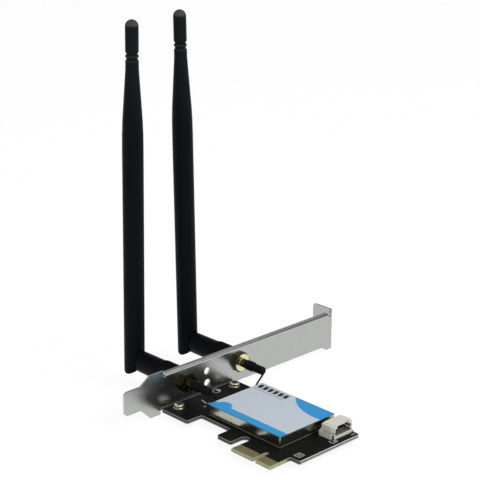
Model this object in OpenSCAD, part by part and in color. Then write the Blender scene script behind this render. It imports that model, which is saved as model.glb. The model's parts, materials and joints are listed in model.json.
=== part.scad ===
// Wireless network card for a computer's short expansion slot, with a slot bracket and two hinged antennas.
// Millimetres. The origin is at the middle of the key notch, on the contact edge, halfway through the board.
// +X runs along the bracket towards its screw flange, +Y out through the bracket, +Z up from the component side.

/* [Board] */
// Thickness of the circuit board
board_t = 1.57; // [1.4:0.01:1.8]
// Reach of the board from the bracket's inner face to its free end
board_len = 70.1; // [67:0.1:80]
// Width of the board from the contact edge to its far edge
board_w = 44.35; // [44:0.05:60]
// Gap between the board and the bracket
board_gap = 0.4; // [0.35:0.05:0.8]
// Distance from the key notch to the bracket's inner face
key_to_bracket = 57.15; // [56.5:0.05:60]
// Depth of the contact tongue, from the contact edge to the shoulder behind it
tongue_depth = 11.3; // [10:0.1:12.5]
// Distance of the board's other lower edges from the contact edge
heel_in = 3.65; // [2:0.05:6]
// Width of the slot beside the contact tongue
hook_slot_w = 4.2; // [3.6:0.1:5]
// Width of the board's tab beyond that slot
hook_w = 7.7; // [6:0.1:9]
// Length of the recess between that tab and the bracket end
recess_len = 17.2; // [12:0.1:18]
// Rounding of the board's outer corners
board_r = 0.8; // [0.3:0.1:1.5]

/* [Contacts] */
// Contacts on each side between the key notch and the bracket
long_count = 11; // [9:1:11]
// Contacts on each side beyond the key notch
short_count = 7; // [5:1:8]
// Spacing of the contacts
contact_pitch = 1.0; // [0.9:0.05:1.05]
// Width of one contact
contact_w = 0.7; // [0.5:0.05:0.8]
// Length of one contact
contact_len = 4.3; // [3.5:0.1:6]
// Thickness of the contacts' plating
contact_t = 0.06; // [0.04:0.01:0.12]
// Distance of the contacts from the contact edge
contact_in = 0.5; // [0.4:0.05:1]
// Width of the key notch
key_w = 1.9; // [1.6:0.05:2.2]
// Depth of the key notch
key_depth = 7.7; // [6.5:0.1:9]
// Depth of the bevel on the contact edge, from each face
bevel = 0.3; // [0.1:0.05:0.35]

/* [Bracket] */
// Length of the bracket from its tongue to its screw flange
bracket_l = 120.02; // [112:0.02:130]
// Width of the bracket
bracket_w = 18.42; // [18:0.02:22]
// Thickness of the bracket's sheet
sheet_t = 0.86; // [0.7:0.02:1]
// Reach of the bracket's tongue past the board's contact edge
tongue_reach = 15; // [13:0.1:17]
// Drop of the bracket's lower edge below the middle of the board
edge_drop = 1.97; // [1.95:0.01:2.4]
// Width of the bracket's tongue
tongue_w = 10.19; // [8:0.01:12]
// Height of the tongue's lower edge above the bracket's lower edge
tongue_rise = 4.8; // [3.5:0.1:6]
// Length of the tongue up to the sloping shoulders
tongue_l = 8.4; // [7:0.1:10]
// Length of the sloping shoulders
shoulder_l = 4.9; // [3:0.1:6]
// Length from the tongue's end to the step in the lower edge
ear_l = 18.6; // [16:0.1:20]
// Height of the middle of the lower edge above its ends
waist = 1.8; // [1:0.05:2.3]
// Length of the full-width end beside the screw flange
foot_l = 4.1; // [3:0.1:6]
// Run of the slope between that end and the middle of the lower edge
foot_slope = 2.7; // [1:0.1:4]
// Depth of the screw flange, from the bracket's inner face
flange_d = 11.43; // [10:0.01:14]
// Width of the notch for the computer case's screw
screw_notch_w = 4.42; // [3.6:0.02:5]
// Depth of that notch from the flange's lower edge
screw_notch_d = 5; // [4:0.1:7]
// Distance of that notch's middle from the bracket's inner face
screw_notch_y = 6.35; // [5:0.05:7.5]
// Inner radius of every bend in the sheet
bend_r = 0.3; // [0.2:0.05:0.4]
// Depth of the stiffening lip, from the bracket's inner face
lip_d = 2.3; // [1.8:0.1:3]
// Height of the bracket's upper edge above the lip
lip_drop = 1.4; // [0:0.1:1.8]
// Distance of the lip's first end from the tongue's end
lip_start = 21.8; // [20:0.1:24]
// Distance of the lip's other end from the screw flange
lip_end = 3; // [2.8:0.1:6]
// Radius of the relief notches at the lip's ends
relief_r = 0.7; // [0.5:0.05:0.9]
// Diameter of the lamp holes
lamp_hole_d = 3.2; // [2.5:0.1:4]
// Distance of the lamp holes from the contact edge
lamp_x = 28.95; // [27:0.05:36]
// Height of the lower lamp hole above the middle of the board
lamp_z = 4.2; // [4:0.1:6]
// Spacing of the lamp holes
lamp_pitch = 5.2; // [4.5:0.1:6]

/* [Board screws] */
// Distance of the first screw from the contact edge
screw_x = 9.6; // [9.2:0.05:10]
// Spacing of the two screws
screw_pitch = 30.7; // [28:0.1:31.5]
// Distance of the screws from the bracket's inner face
screw_in = 4.3; // [4:0.1:5.5]
// Thread diameter of the screws
screw_d = 2.5; // [2:0.1:3]
// Diameter of the screws' heads
screw_head_d = 4.2; // [4:0.1:5.6]
// Height of the screws' heads
screw_head_h = 1.6; // [1.4:0.1:2.4]
// Diameter of the plated pads under the heads
screw_pad_d = 4.9; // [4.7:0.1:6.2]
// Width of the bracket's tabs under the board
lug_w = 7.4; // [6:0.1:9]
// Reach of the tabs' ends beyond the screws
lug_end = 3.6; // [2.5:0.1:5]

/* [Shield] */
// Width of the shield's cover
shield_w = 30.5; // [29:0.1:32]
// Length of the shield's cover
shield_l = 40.6; // [39:0.1:41]
// Height of the shield above the board
shield_h = 4.45; // [4.2:0.05:6]
// Distance of the shield from the contact edge
shield_x = 13.4; // [12.5:0.1:13.8]
// Distance of the shield from the bracket's inner face
shield_in = 17.1; // [17:0.1:18]
// Wall of the cover
cover_t = 0.2; // [0.15:0.05:0.3]
// Wall of the frame inside it
frame_t = 0.2; // [0.15:0.05:0.3]
// Height of the cover's skirt above the board
skirt_gap = 0.6; // [0.4:0.1:1.2]
// Width of the frame's top rim
rim_w = 1.2; // [0.8:0.1:2]
// Rounding of the shield's upright corners
shield_r = 0.7; // [0.5:0.1:1.2]
// Width of the cable openings in the shield
cable_gate_w = 2.2; // [1.9:0.1:3]
// Height of the cable openings above the board
cable_gate_h = 3.1; // [2.9:0.1:3.6]
// Distance of the first cable opening from the shield's side
near_gate_in = 7.8; // [7:0.1:9]
// Distance of the second cable opening from the shield's side
far_gate_in = 26; // [23:0.1:27]
// Thickness of the label
label_t = 0.1; // [0.08:0.02:0.2]
// Margin of the label on the cover
label_margin = 0.3; // [0.2:0.1:1]

/* [Radio module] */
// Width of the radio module
module_w = 22; // [20:0.1:24]
// Length of the radio module
module_l = 30; // [29:0.1:31]
// Thickness of the module's board
module_t = 0.8; // [0.6:0.05:1]
// Height of the module's board above the main board
module_lift = 1.1; // [0.8:0.1:1.2]
// Gap between the module and the frame at the bracket end
module_in = 2.6; // [2.2:0.1:3]
// Length of the module's edge inside its socket
module_bite = 4; // [3:0.1:5]
// Height of the module's own shield
module_can_h = 1.4; // [1:0.1:1.5]
// Margin of that shield from the module's sides
module_can_in = 1.5; // [1:0.1:4]
// Gap between that shield and the socket
module_can_gap = 2; // [1:0.1:4]
// Depth of the module's socket
module_socket_d = 7; // [6:0.1:8]
// Width of the socket's ends beside the module
module_socket_end = 1.2; // [0.8:0.1:1.6]
// Diameter of the module's standoff
standoff_d = 5; // [4:0.1:6]
// Spacing of the two antenna sockets on the module
rf_pitch = 13; // [11:0.1:15]
// Distance of the antenna sockets from the module's bracket end
rf_in = 3; // [2:0.1:4]

/* [Cable socket] */
// Number of contacts in the cable socket
pin_count = 4; // [3:1:4]
// Spacing of those contacts
pin_pitch = 2; // [1.8:0.1:2.1]
// Width of one contact
pin_w = 0.5; // [0.4:0.05:0.64]
// Depth of the socket's housing
socket_d = 7.3; // [7:0.1:8]
// Height of the housing
socket_h = 5.5; // [5:0.1:6.5]
// Height of the housing's lower rear part
socket_rear_h = 2.4; // [2:0.1:2.6]
// Depth of that lower rear part
socket_rear_d = 1.1; // [1:0.1:2.4]
// Distance of the housing from the board's far edge
socket_in = 0.1; // [0.1:0.1:1]
// Distance of the housing from the board's free end
socket_end = 3; // [2.4:0.1:4]
// Width of the ears on the housing's sides
ear_w = 0.9; // [0.8:0.1:1.4]
// Wall around the housing's mouth
mouth_wall = 0.6; // [0.6:0.05:1]
// Width of the mouth beside the outer contacts
mouth_side = 1.4; // [1:0.1:1.6]
// Floor of the housing's mouth
mouth_floor = 1.4; // [1:0.1:1.5]
// Height of the mouth
mouth_h = 2.9; // [2.6:0.1:3]

/* [Antenna jacks] */
// Distance of the first jack from the contact edge
jack_x = 17.2; // [16:0.1:18]
// Spacing of the two jacks
jack_pitch = 30; // [29.4:0.1:36]
// Height of the jacks above the middle of the board
jack_z = 8.4; // [7.8:0.1:8.6]
// Diameter of the jacks' thread
thread_d = 6.3; // [6:0.05:6.5]
// Distance from the thread's axis to the flat along it
thread_flat = 2.8; // [2.5:0.05:3]
// Reach of the thread beyond the bracket's inner face
thread_l = 11.2; // [10.5:0.1:11.3]
// Width across the flats of the hexagon behind the bracket
flange_af = 7.6; // [7.2:0.1:8.6]
// Size of the hexagons across their flats
hex_af = 8; // [7.5:0.1:8.6]
// Thickness of the hexagon behind the bracket
flange_hex_t = 2; // [1.6:0.1:2.4]
// Thickness of the hexagon nut outside the bracket
nut_t = 2.2; // [1.8:0.1:2.3]
// Thickness of the lock washer
washer_t = 0.6; // [0.4:0.05:0.7]
// Outer diameter of the lock washer
washer_d = 9.4; // [9:0.1:10]
// Diameter of the socket's insulator
insulator_d = 4.1; // [3.8:0.1:4.4]
// Diameter of the centre pin
centre_pin_d = 0.9; // [0.8:0.05:1]
// Diameter of the coaxial cable
coax_d = 0.81; // [0.6:0.01:1.2]
// Diameter of the shrink sleeve over the crimp
sleeve_d = 4.2; // [4:0.1:4.6]
// Diameter of the shrink sleeve over the cable
sleeve_neck_d = 3.5; // [3:0.1:3.8]
// Reach of the sleeve's wide part behind the bracket
sleeve_wide_l = 8.6; // [8:0.1:9.4]
// Reach of the whole sleeve behind the bracket
sleeve_l = 14.3; // [13:0.1:14.6]

/* [Antennas] */
// Length of an antenna from its hinge to its tip
blade_l = 143.5; // [120:0.5:160]
// Diameter of an antenna's body
blade_d = 8.7; // [8.5:0.1:8.8]
// Diameter of an antenna's tip
tip_d = 5.4; // [5:0.1:6]
// Diameter at the bottom of the ring grooves
groove_d = 4.6; // [4.2:0.1:4.8]
// Width of one ring groove
groove_w = 1.1; // [0.8:0.1:1.3]
// Width of the ring between the two grooves
ring_w = 0.9; // [0.6:0.1:1.2]
// Distance of the grooves from the tip
groove_from_tip = 13; // [10:0.5:15]
// Distance from the tip to the start of the taper
taper_from_tip = 18.4; // [18:0.1:22]
// Length of the taper
taper_l = 34; // [25:1:45]
// Distance of the hinge from the bracket's inner face
hinge_y = 32.6; // [32:0.1:36]
// Diameter of the hinge pin
hinge_pin_d = 1.2; // [1:0.1:1.6]
// Thickness of the tongue between the antenna's cheeks
hinge_tongue_t = 3.6; // [3:0.1:4.2]
// Radius of the tongue's round end
hinge_tongue_r = 4.3; // [4:0.05:4.35]
// Reach of the cheeks below the hinge
cheek_drop = 5.8; // [5.5:0.05:6]
// Diameter of the swivel base
base_d = 8.9; // [8.8:0.1:9.6]
// Diameter of the coupling nut over its ribs
coupling_d = 9.8; // [9.4:0.1:11]
// Distance of the coupling nut's outer end from the bracket's inner face
coupling_end = 14.4; // [14:0.1:15]
// Number of ribs around the coupling nut
rib_count = 36; // [20:1:40]
// Depth of those ribs
rib_depth = 0.2; // [0.1:0.05:0.3]
// Lean of the first antenna out of upright, away from the bracket
lean_near = -1; // [-1:0.1:3]
// Lean of the second antenna out of upright, away from the bracket
lean_far = 1.4; // [-1:0.1:3]

/* [Clearances] */
// Gap around and between parts that turn
run_gap = 0.05; // [0.03:0.01:0.08]
// Gap between the faces of parts that turn past each other
face_gap = 0.2; // [0.15:0.05:0.3]
// Gap around parts that are only put together
seat_gap = 0.02; // [0.01:0.01:0.03]

/* [Hidden] */
$fn = 48;

board_top = board_t / 2;
face_y = key_to_bracket;
board_end_y = face_y - board_len;
first_contact = key_w / 2 + 0.2 + contact_w / 2;
edge_margin = 0.3;
tongue_near_y = first_contact + (long_count - 1) * contact_pitch + contact_w / 2 + edge_margin;
tongue_far_y = -(first_contact + (short_count - 1) * contact_pitch + contact_w / 2 + edge_margin);
hook_y = tongue_near_y + hook_slot_w;
recess_y = hook_y + hook_w;
heel_y = recess_y + recess_len;

bracket_x = -tongue_reach;
flange_x = bracket_x + bracket_l;
edge_z = -edge_drop;
top_z = edge_z + bracket_w;
bend_out = bend_r + sheet_t;
relief_d = bend_out + 0.45;
lip_z = top_z - lip_drop;
lip_x0 = bracket_x + lip_start;
lip_x1 = flange_x - lip_end;

screw_y = face_y - screw_in;
screws = [screw_x, screw_x + screw_pitch];
screw_hole_d = screw_d + 0.2;

shield_y1 = face_y - shield_in;
shield_y0 = shield_y1 - shield_l;
shield_cx = shield_x + shield_w / 2;
shield_cy = (shield_y0 + shield_y1) / 2;
shield_top = board_top + shield_h;

module_y1 = shield_y1 - cover_t - frame_t - module_in;
module_y0 = module_y1 - module_l;
module_z = board_top + module_lift;
module_top = module_z + module_t;
rf_y = module_y1 - rf_in;
rf_x = [shield_cx - rf_pitch / 2, shield_cx + rf_pitch / 2];
rf_plug_z = module_top + 0.3 + seat_gap;
rf_plug_h = 1.1;
rf_plug_r = 1.35;
rf_plug_end = 1.9;
gate_x = [shield_x + near_gate_in, shield_x + far_gate_in];
gate_cable_z = board_top + 2.35;

socket_x1 = board_w - socket_in;
socket_main_w = (pin_count - 1) * pin_pitch + 2 * (mouth_side + mouth_wall);
socket_step = 0.3;
slot_z0 = board_top + socket_rear_h - 0.2;
slot_z1 = slot_z0 + 0.5;
socket_x0 = socket_x1 - socket_main_w - 2 * ear_w;
socket_y0 = board_end_y + socket_end;
socket_y1 = socket_y0 + socket_d;
first_pin_x = (socket_x0 + socket_x1 - (pin_count - 1) * pin_pitch) / 2;
pin_z = board_top + mouth_floor + mouth_h / 2;

jacks = [jack_x, jack_x + jack_pitch];
washer_y = face_y + sheet_t;
nut_y = washer_y + washer_t;
coupling_y0 = nut_y + nut_t + face_gap;
coupling_y1 = face_y + coupling_end;
base_y0 = coupling_y1 + face_gap;
pivot_y = face_y + hinge_y;
base_y1 = pivot_y - cheek_drop - face_gap;
ferrule_r = 2.5;
ferrule_flange_r = 3;
ferrule_stop = 1;
ferrule_in = 4.5;
stem_r = 1.55;
stem_l = 7.4;
coax_bore_r = coax_d / 2 + run_gap;
slot_w = hinge_tongue_t + 0.3;
slot_top = hinge_tongue_r + 0.6;
radiator_r = 1.2;
radiator_sleeve_l = blade_l * 0.43;
radiator_top = blade_l - 9.5;
barrel_r = 1.8;
barrel_l = 3.2;
sleeve_grip = 0.7;

// Points of each coaxial cable between its crimp and the shield, measured from its jack at the bracket's face.
coax_near_route = [
    [0, -3.6, 0], [0, -9, 0], [0, -14, 0], [0.3, -14.8, -0.4], [0.9, -15.2, -1.2], [1.9, -15.5, -2.5],
    [3, -15.9, -3.9], [3.7, -16.5, -5]
];
coax_far_route = [
    [0, -3.6, 0], [0, -9, 0], [0, -14, 0], [-0.3, -14.7, -0.4], [-1.2, -15.1, -1.2], [-3, -15.4, -2.3],
    [-5.2, -15.8, -3.8], [-7.2, -16.5, -5]
];

function arc(cx, cy, r, a0, a1, steps = 6) =
    [for (i = [0:steps]) let(a = a0 + (a1 - a0) * i / steps) [cx + r * cos(a), cy + r * sin(a)]];

function spline_point(a, b, c, d, t) =
    0.5 * ((2 * b) + (c - a) * t + (2 * a - 5 * b + 4 * c - d) * t * t + (3 * b - a - 3 * c + d) * t * t * t);

function spline(p, steps) = [
    for (i = [0:len(p) - 2], k = [0:steps - 1])
        spline_point(p[max(i - 1, 0)], p[i], p[i + 1], p[min(i + 2, len(p) - 1)], k / steps),
    p[len(p) - 1]
];

function unit(v) = v / norm(v);

// One square-on frame vector after another, each turned as little as the path turns.
function carried(v, t) = unit(v - t * (v * t));
function side_vectors(path, i = 0, v = [1, 0, 0]) =
    let(t = unit(path[min(i + 1, len(path) - 1)] - path[max(i - 1, 0)]), s = carried(v, t))
    i == len(path) - 1 ? [s] : concat([s], side_vectors(path, i + 1, s));

// A round tube along a path, closed at both ends.
module tube_along(path, r, sides = 8) {
    side = side_vectors(path);
    n = len(path);
    rings = [
        for (i = [0:n - 1])
            let(t = unit(path[min(i + 1, n - 1)] - path[max(i - 1, 0)]), u = side[i], v = cross(t, u))
                for (k = [0:sides - 1]) path[i] + r * (cos(360 * k / sides) * u + sin(360 * k / sides) * v)
    ];
    walls = [
        for (i = [0:n - 2], k = [0:sides - 1])
            let(a = i * sides + k, b = i * sides + (k + 1) % sides) [a, a + sides, b + sides, b]
    ];
    start = [[for (k = [0:sides - 1]) k]];
    end = [[for (k = [sides - 1:-1:0]) (n - 1) * sides + k]];
    polyhedron(points = rings, faces = concat(walls, start, end), convexity = 4);
}

// Turns a shape drawn up the Z axis so that it lies along +Y from the given place.
module along_y(x, y, z) {
    translate([x, y, z]) rotate([-90, 0, 0]) children();
}

// A plain box between two corners.
module block(a, b) {
    translate(a) cube(b - a);
}

// A box with rounded upright corners.
module rounded_box(x0, y0, x1, y1, z0, z1, r) {
    outline = concat(
        arc(x0 + r, y0 + r, r, 180, 270), arc(x1 - r, y0 + r, r, 270, 360),
        arc(x1 - r, y1 - r, r, 0, 90), arc(x0 + r, y1 - r, r, 90, 180));
    translate([0, 0, z0]) linear_extrude(z1 - z0) polygon(outline);
}

// The board's outline, seen from the component side.
function board_outline() =
    let(r = board_r, s = hook_slot_w / 2, k = key_w / 2, x1 = board_w, y1 = face_y - board_gap)
    concat(
        arc(tongue_depth + r, board_end_y + r, r, 180, 270), arc(x1 - r, board_end_y + r, r, 270, 360),
        arc(x1 - r, y1 - r, r, 0, 90), arc(heel_in + r, y1 - r, r, 90, 180),
        arc(heel_in + r, heel_y + r, r, 180, 270), arc(tongue_depth - r, heel_y - r, r, 90, 0),
        arc(tongue_depth - r, recess_y + r, r, 0, -90), arc(heel_in + r, recess_y - r, r, 90, 180),
        arc(heel_in + r, hook_y + r, r, 180, 270), arc(tongue_depth - s, hook_y - s, s, 90, -90),
        [[0, tongue_near_y]],
        [[0, k]], arc(key_depth - k, 0, k, 90, -90), [[0, -k]],
        [[0, tongue_far_y]], arc(tongue_depth - r, tongue_far_y - r, r, 90, 0));

module pcb() {
    reach = tongue_near_y - tongue_far_y + 2;
    color([0.03, 0.035, 0.04]) difference() {
        translate([0, 0, -board_top]) linear_extrude(board_t) polygon(board_outline());
        for (x = screws) translate([x, screw_y, -board_t]) cylinder(d = screw_hole_d, h = 2 * board_t);
        for (side = [0, 1]) mirror([0, 0, side])
            translate([0, tongue_far_y - 1, 0]) rotate([-90, 0, 0]) linear_extrude(reach)
                polygon([[-1, -board_top - 1], [-1, -board_top + bevel + 1], [0, -board_top + bevel],
                         [contact_in * 0.9, -board_top], [contact_in * 0.9, -board_top - 1]]);
    }
}

module contacts(z) {
    long_rows = [for (i = [0:long_count - 1]) first_contact + i * contact_pitch];
    short_rows = [for (i = [0:short_count - 1]) -first_contact - i * contact_pitch];
    for (y = concat(long_rows, short_rows))
        translate([contact_in, y - contact_w / 2, z]) cube([contact_len, contact_w, contact_t]);
}

module contacts_top() {
    color([0.78, 0.7, 0.42]) contacts(board_top);
}

module contacts_bottom() {
    color([0.78, 0.7, 0.42]) contacts(-board_top - contact_t);
}

// The flat of the bracket, as an outline in X and Z.
function bracket_outline() =
    let(x0 = bracket_x, x1 = flange_x - bend_out, z0 = edge_z, t0 = edge_z + tongue_rise, t1 = t0 + tongue_w,
        w = edge_z + waist, r = 2, e = 0.6)
    concat(
        arc(x0 + r, t0 + r, r, 180, 270), [[x0 + tongue_l, t0], [x0 + tongue_l + shoulder_l, z0]],
        arc(x0 + ear_l - e, z0 + e, e, 270, 360), [[x0 + ear_l, w]],
        [[flange_x - foot_l - foot_slope, w], [flange_x - foot_l, z0], [x1, z0], [x1, top_z]],
        [[x0 + tongue_l + shoulder_l, top_z], [x0 + tongue_l, t1]], arc(x0 + r, t1 - r, r, 90, 180));

// A quarter bend of the sheet, from a wall that ends at [0, 0] heading down -Y, round towards +X.
module bend_profile() {
    intersection() {
        difference() {
            circle(r = bend_out);
            circle(r = bend_r);
        }
        square(bend_out + 1);
    }
}

module bracket_plate() {
    lip_cut = lip_z - bend_out;
    relief_z = lip_z - relief_d + relief_r;
    difference() {
        translate([0, face_y + sheet_t, 0]) rotate([90, 0, 0]) linear_extrude(sheet_t) polygon(bracket_outline());
        block([lip_x0, face_y - 1, lip_cut], [lip_x1, face_y + sheet_t + 1, top_z + 1]);
        for (x = [lip_x0 - relief_r, lip_x1 + relief_r]) {
            along_y(x, face_y - 1, relief_z) cylinder(r = relief_r, h = sheet_t + 2);
            block([x - relief_r, face_y - 1, relief_z], [x + relief_r, face_y + sheet_t + 1, top_z + 1]);
        }
    }
}

module bracket_lip() {
    z = lip_z - bend_out;
    y = face_y + bend_out;
    translate([lip_x0, y, z]) rotate([90, 0, 90]) linear_extrude(lip_x1 - lip_x0) mirror([1, 0]) bend_profile();
    block([lip_x0, y, lip_z - sheet_t], [lip_x1, face_y + lip_d, lip_z]);
}

module bracket_flange() {
    x = flange_x - bend_out;
    y = face_y + bend_out;
    r = 1.2;
    outline = concat(
        [[y, edge_z], [screw_notch_y + face_y - screw_notch_w / 2, edge_z]],
        arc(screw_notch_y + face_y, edge_z + screw_notch_d - screw_notch_w / 2, screw_notch_w / 2, 180, 0, 12),
        [[screw_notch_y + face_y + screw_notch_w / 2, edge_z]],
        arc(face_y + flange_d - r, edge_z + r, r, 270, 360), arc(face_y + flange_d - r, top_z - r, r, 0, 90),
        [[y, top_z]]);
    translate([x, y, edge_z]) linear_extrude(bracket_w) mirror([0, 1]) bend_profile();
    translate([flange_x - sheet_t, 0, 0]) rotate([90, 0, 90]) linear_extrude(sheet_t) polygon(outline);
}

module bracket_lug(x) {
    z = -board_top;
    y = face_y - bend_r;
    tip = screw_y - lug_end;
    half = lug_w / 2;
    top = edge_z + waist;
    block([x - half, face_y, z + bend_r], [x + half, face_y + sheet_t, top + 0.2]);
    translate([x - half, y, z + bend_r]) rotate([90, 0, 90]) linear_extrude(lug_w) mirror([0, 1]) bend_profile();
    translate([0, 0, z - sheet_t]) linear_extrude(sheet_t)
        polygon(concat([[x + half, y], [x - half, y]], arc(x - half + 1.5, tip + 1.5, 1.5, 180, 270),
                       arc(x + half - 1.5, tip + 1.5, 1.5, 270, 360)));
}

module bracket() {
    color([0.75, 0.76, 0.76]) difference() {
        union() {
            bracket_plate();
            bracket_lip();
            bracket_flange();
            for (x = screws) bracket_lug(x);
        }
        for (x = jacks) jack_thread_shape(x, face_y - 1, sheet_t + 2, seat_gap);
        for (i = [0, 1]) along_y(lamp_x, face_y - 1, lamp_z + i * lamp_pitch) cylinder(d = lamp_hole_d, h = sheet_t + 2);
        for (x = screws) translate([x, screw_y, -board_t - sheet_t - 1])
            cylinder(d = screw_d + 2 * seat_gap, h = sheet_t + 2 + board_top);
    }
}

// The plated rings that the screws' heads bear on.
module screw_pads() {
    color([0.78, 0.7, 0.42]) for (x = screws) translate([x, screw_y, board_top]) difference() {
        cylinder(d = screw_pad_d, h = contact_t);
        translate([0, 0, -1]) cylinder(d = screw_hole_d, h = 2);
    }
}

module board_screws() {
    length = board_t + sheet_t + 1.2;
    color([0.8, 0.8, 0.78]) for (x = screws) translate([x, screw_y, board_top + contact_t]) difference() {
        union() {
            translate([0, 0, -length]) cylinder(d = screw_d, h = length + 0.1);
            rotate_extrude() polygon(concat(
                [[0, 0], [screw_head_d / 2, 0]], arc(screw_head_d / 2 - 0.7, screw_head_h - 0.7, 0.7, 0, 90), [[0, screw_head_h]]));
        }
        for (a = [0, 90]) rotate([0, 0, a + 20])
            translate([-1.3, -0.28, screw_head_h - 1]) cube([2.6, 0.56, 2]);
    }
}

// A four-walled shell with rounded corners, open below.
module shell(inset, t, z0, z1) {
    x0 = shield_x + inset;
    x1 = shield_x + shield_w - inset;
    y0 = shield_y0 + inset;
    y1 = shield_y1 - inset;
    r = shield_r - inset;
    difference() {
        rounded_box(x0, y0, x1, y1, z0, z1, r);
        rounded_box(x0 + t, y0 + t, x1 - t, y1 - t, z0 - 1, z1 - t, r - t);
        for (x = gate_x) block([x - cable_gate_w / 2, shield_y1 - 2, z0 - 1],
                               [x + cable_gate_w / 2, shield_y1 + 1, board_top + cable_gate_h]);
    }
}

module shield_frame() {
    inset = cover_t + seat_gap;
    top = shield_top - cover_t - seat_gap;
    color([0.7, 0.69, 0.66]) difference() {
        shell(inset, frame_t, board_top, top);
        rounded_box(shield_x + inset + rim_w, shield_y0 + inset + rim_w, shield_x + shield_w - inset - rim_w,
                    shield_y1 - inset - rim_w, board_top, top + 1, 1);
    }
}

module shield_cover() {
    color([0.72, 0.71, 0.68]) shell(0, cover_t, board_top + skirt_gap, shield_top);
}

module shield_label() {
    m = label_margin;
    color([0.8, 0.83, 0.87]) rounded_box(shield_x + m, shield_y0 + m, shield_x + shield_w - m, shield_y1 - m,
                                         shield_top, shield_top + label_t, 0.4);
}

module radio_module_board() {
    half = module_w / 2;
    r = 1.75;
    outline = concat(
        [[-half, module_y0], [half, module_y0], [half, module_y1], [r, module_y1]],
        arc(0, module_y1, r, 0, -180, 12), [[-half, module_y1]]);
    color([0.05, 0.2, 0.12]) translate([shield_cx, 0, module_z]) linear_extrude(module_t) polygon(outline);
}

module radio_module_can() {
    half = module_w / 2 - module_can_in;
    y0 = module_y0 + module_bite + module_can_gap;
    y1 = rf_y - rf_plug_r - 1.2;
    t = cover_t;
    color([0.7, 0.7, 0.68]) difference() {
        rounded_box(shield_cx - half, y0, shield_cx + half, y1, module_top, module_top + module_can_h, 0.6);
        rounded_box(shield_cx - half + t, y0 + t, shield_cx + half - t, y1 - t, module_top - 1,
                    module_top + module_can_h - t, 0.6 - t);
    }
}

module module_socket() {
    y1 = module_y0 + module_bite;
    inner = module_w / 2 + seat_gap;
    outer = inner + module_socket_end;
    color([0.12, 0.12, 0.12]) difference() {
        block([shield_cx - outer, y1 - module_socket_d, board_top], [shield_cx + outer, y1, module_top + 1]);
        block([shield_cx - inner, module_y0 - seat_gap, module_z - seat_gap], [shield_cx + inner, y1 + 1, module_top + seat_gap]);
        block([shield_cx - inner, y1 - module_bite / 2, board_top - 1], [shield_cx + inner, y1 + 1, module_z]);
    }
}

module module_standoff() {
    color([0.8, 0.7, 0.4]) translate([shield_cx, module_y1, board_top]) difference() {
        cylinder(d = standoff_d, h = module_lift);
        translate([0, 0, -1]) cylinder(r = 1 + seat_gap, h = module_lift + 2);
    }
}

module module_screw() {
    color([0.75, 0.75, 0.73]) translate([shield_cx, module_y1, 0]) difference() {
        union() {
            translate([0, 0, board_top]) cylinder(r = 1, h = module_lift + module_t + 0.1);
            translate([0, 0, module_top]) cylinder(d = 4.6, h = 0.6);
        }
        for (a = [0, 90]) rotate([0, 0, a]) translate([-0.9, -0.2, module_top + 0.35]) cube([1.8, 0.4, 1]);
    }
}

module rf_sockets() {
    color([0.78, 0.7, 0.42]) for (x = rf_x) translate([x, rf_y, module_top]) {
        difference() {
            translate([-1.3, -1.3, 0]) cube([2.6, 2.6, 0.3]);
            translate([0, 0, -1]) cylinder(r = 0.75, h = 3);
        }
        difference() {
            translate([0, 0, 0.1]) cylinder(r = 1, h = 0.6);
            translate([0, 0, -1]) cylinder(r = 0.75, h = 3);
        }
        cylinder(r = 0.25, h = 0.6);
    }
}

// The way in which each plug's cable leaves it, towards the opening in the shield.
function plug_way(i) = unit([gate_x[i] - rf_x[i], shield_y1 - rf_y, 0]);

// The plug on a cable's end, pressed over its socket on the module.
module rf_plug(i) {
    way = plug_way(i);
    color([0.76, 0.7, 0.5]) translate([rf_x[i], rf_y, rf_plug_z]) rotate([0, 0, -atan2(way[0], way[1])]) difference() {
        union() {
            cylinder(r = rf_plug_r, h = rf_plug_h);
            translate([-0.8, 0, 0]) cube([1.6, rf_plug_end, rf_plug_h]);
        }
        translate([0, 0, -1]) cylinder(r = 1 + seat_gap, h = 1.45);
    }
}

module rf_plug_near() { rf_plug(0); }
module rf_plug_far() { rf_plug(1); }

module cable_socket() {
    x0 = socket_x0 + ear_w;
    x1 = socket_x1 - ear_w;
    back = socket_y1 - socket_rear_d;
    z0 = board_top;
    z1 = z0 + socket_h;
    mouth_z = z0 + mouth_floor;
    color([0.84, 0.84, 0.78]) difference() {
        union() {
            block([x0, socket_y0, z0], [x1, back, z1 - socket_step]);
            block([x0 + mouth_wall, socket_y0, z0], [x1 - mouth_wall, back, z1]);
            block([x0, socket_y0, z0], [x1, socket_y1, slot_z1]);
            block([socket_x0, socket_y0 + 1, z0], [socket_x1, socket_y1, slot_z0]);
            block([socket_x0 + 0.3, socket_y0 + 1, slot_z1], [socket_x1 - 0.3, back, z1 - socket_step]);
        }
        block([x0 + mouth_wall, socket_y0 - 1, mouth_z], [x1 - mouth_wall, back - 0.6, mouth_z + mouth_h]);
        block([x0 + mouth_wall + 1, socket_y0 - 1, mouth_z + mouth_h - 1],
              [x1 - mouth_wall - 1, socket_y0 + 1.4, z1 + 1]);
        block([socket_x0 - 1, socket_y0 - 1, slot_z0], [socket_x1 + 1, back - 1.2, slot_z1]);
        for (i = [0:pin_count - 1])
            block([first_pin_x + i * pin_pitch - pin_w / 2, socket_y0, pin_z - pin_w / 2],
                  [first_pin_x + i * pin_pitch + pin_w / 2, socket_y1 + 1, pin_z + pin_w / 2]);
    }
}

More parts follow.
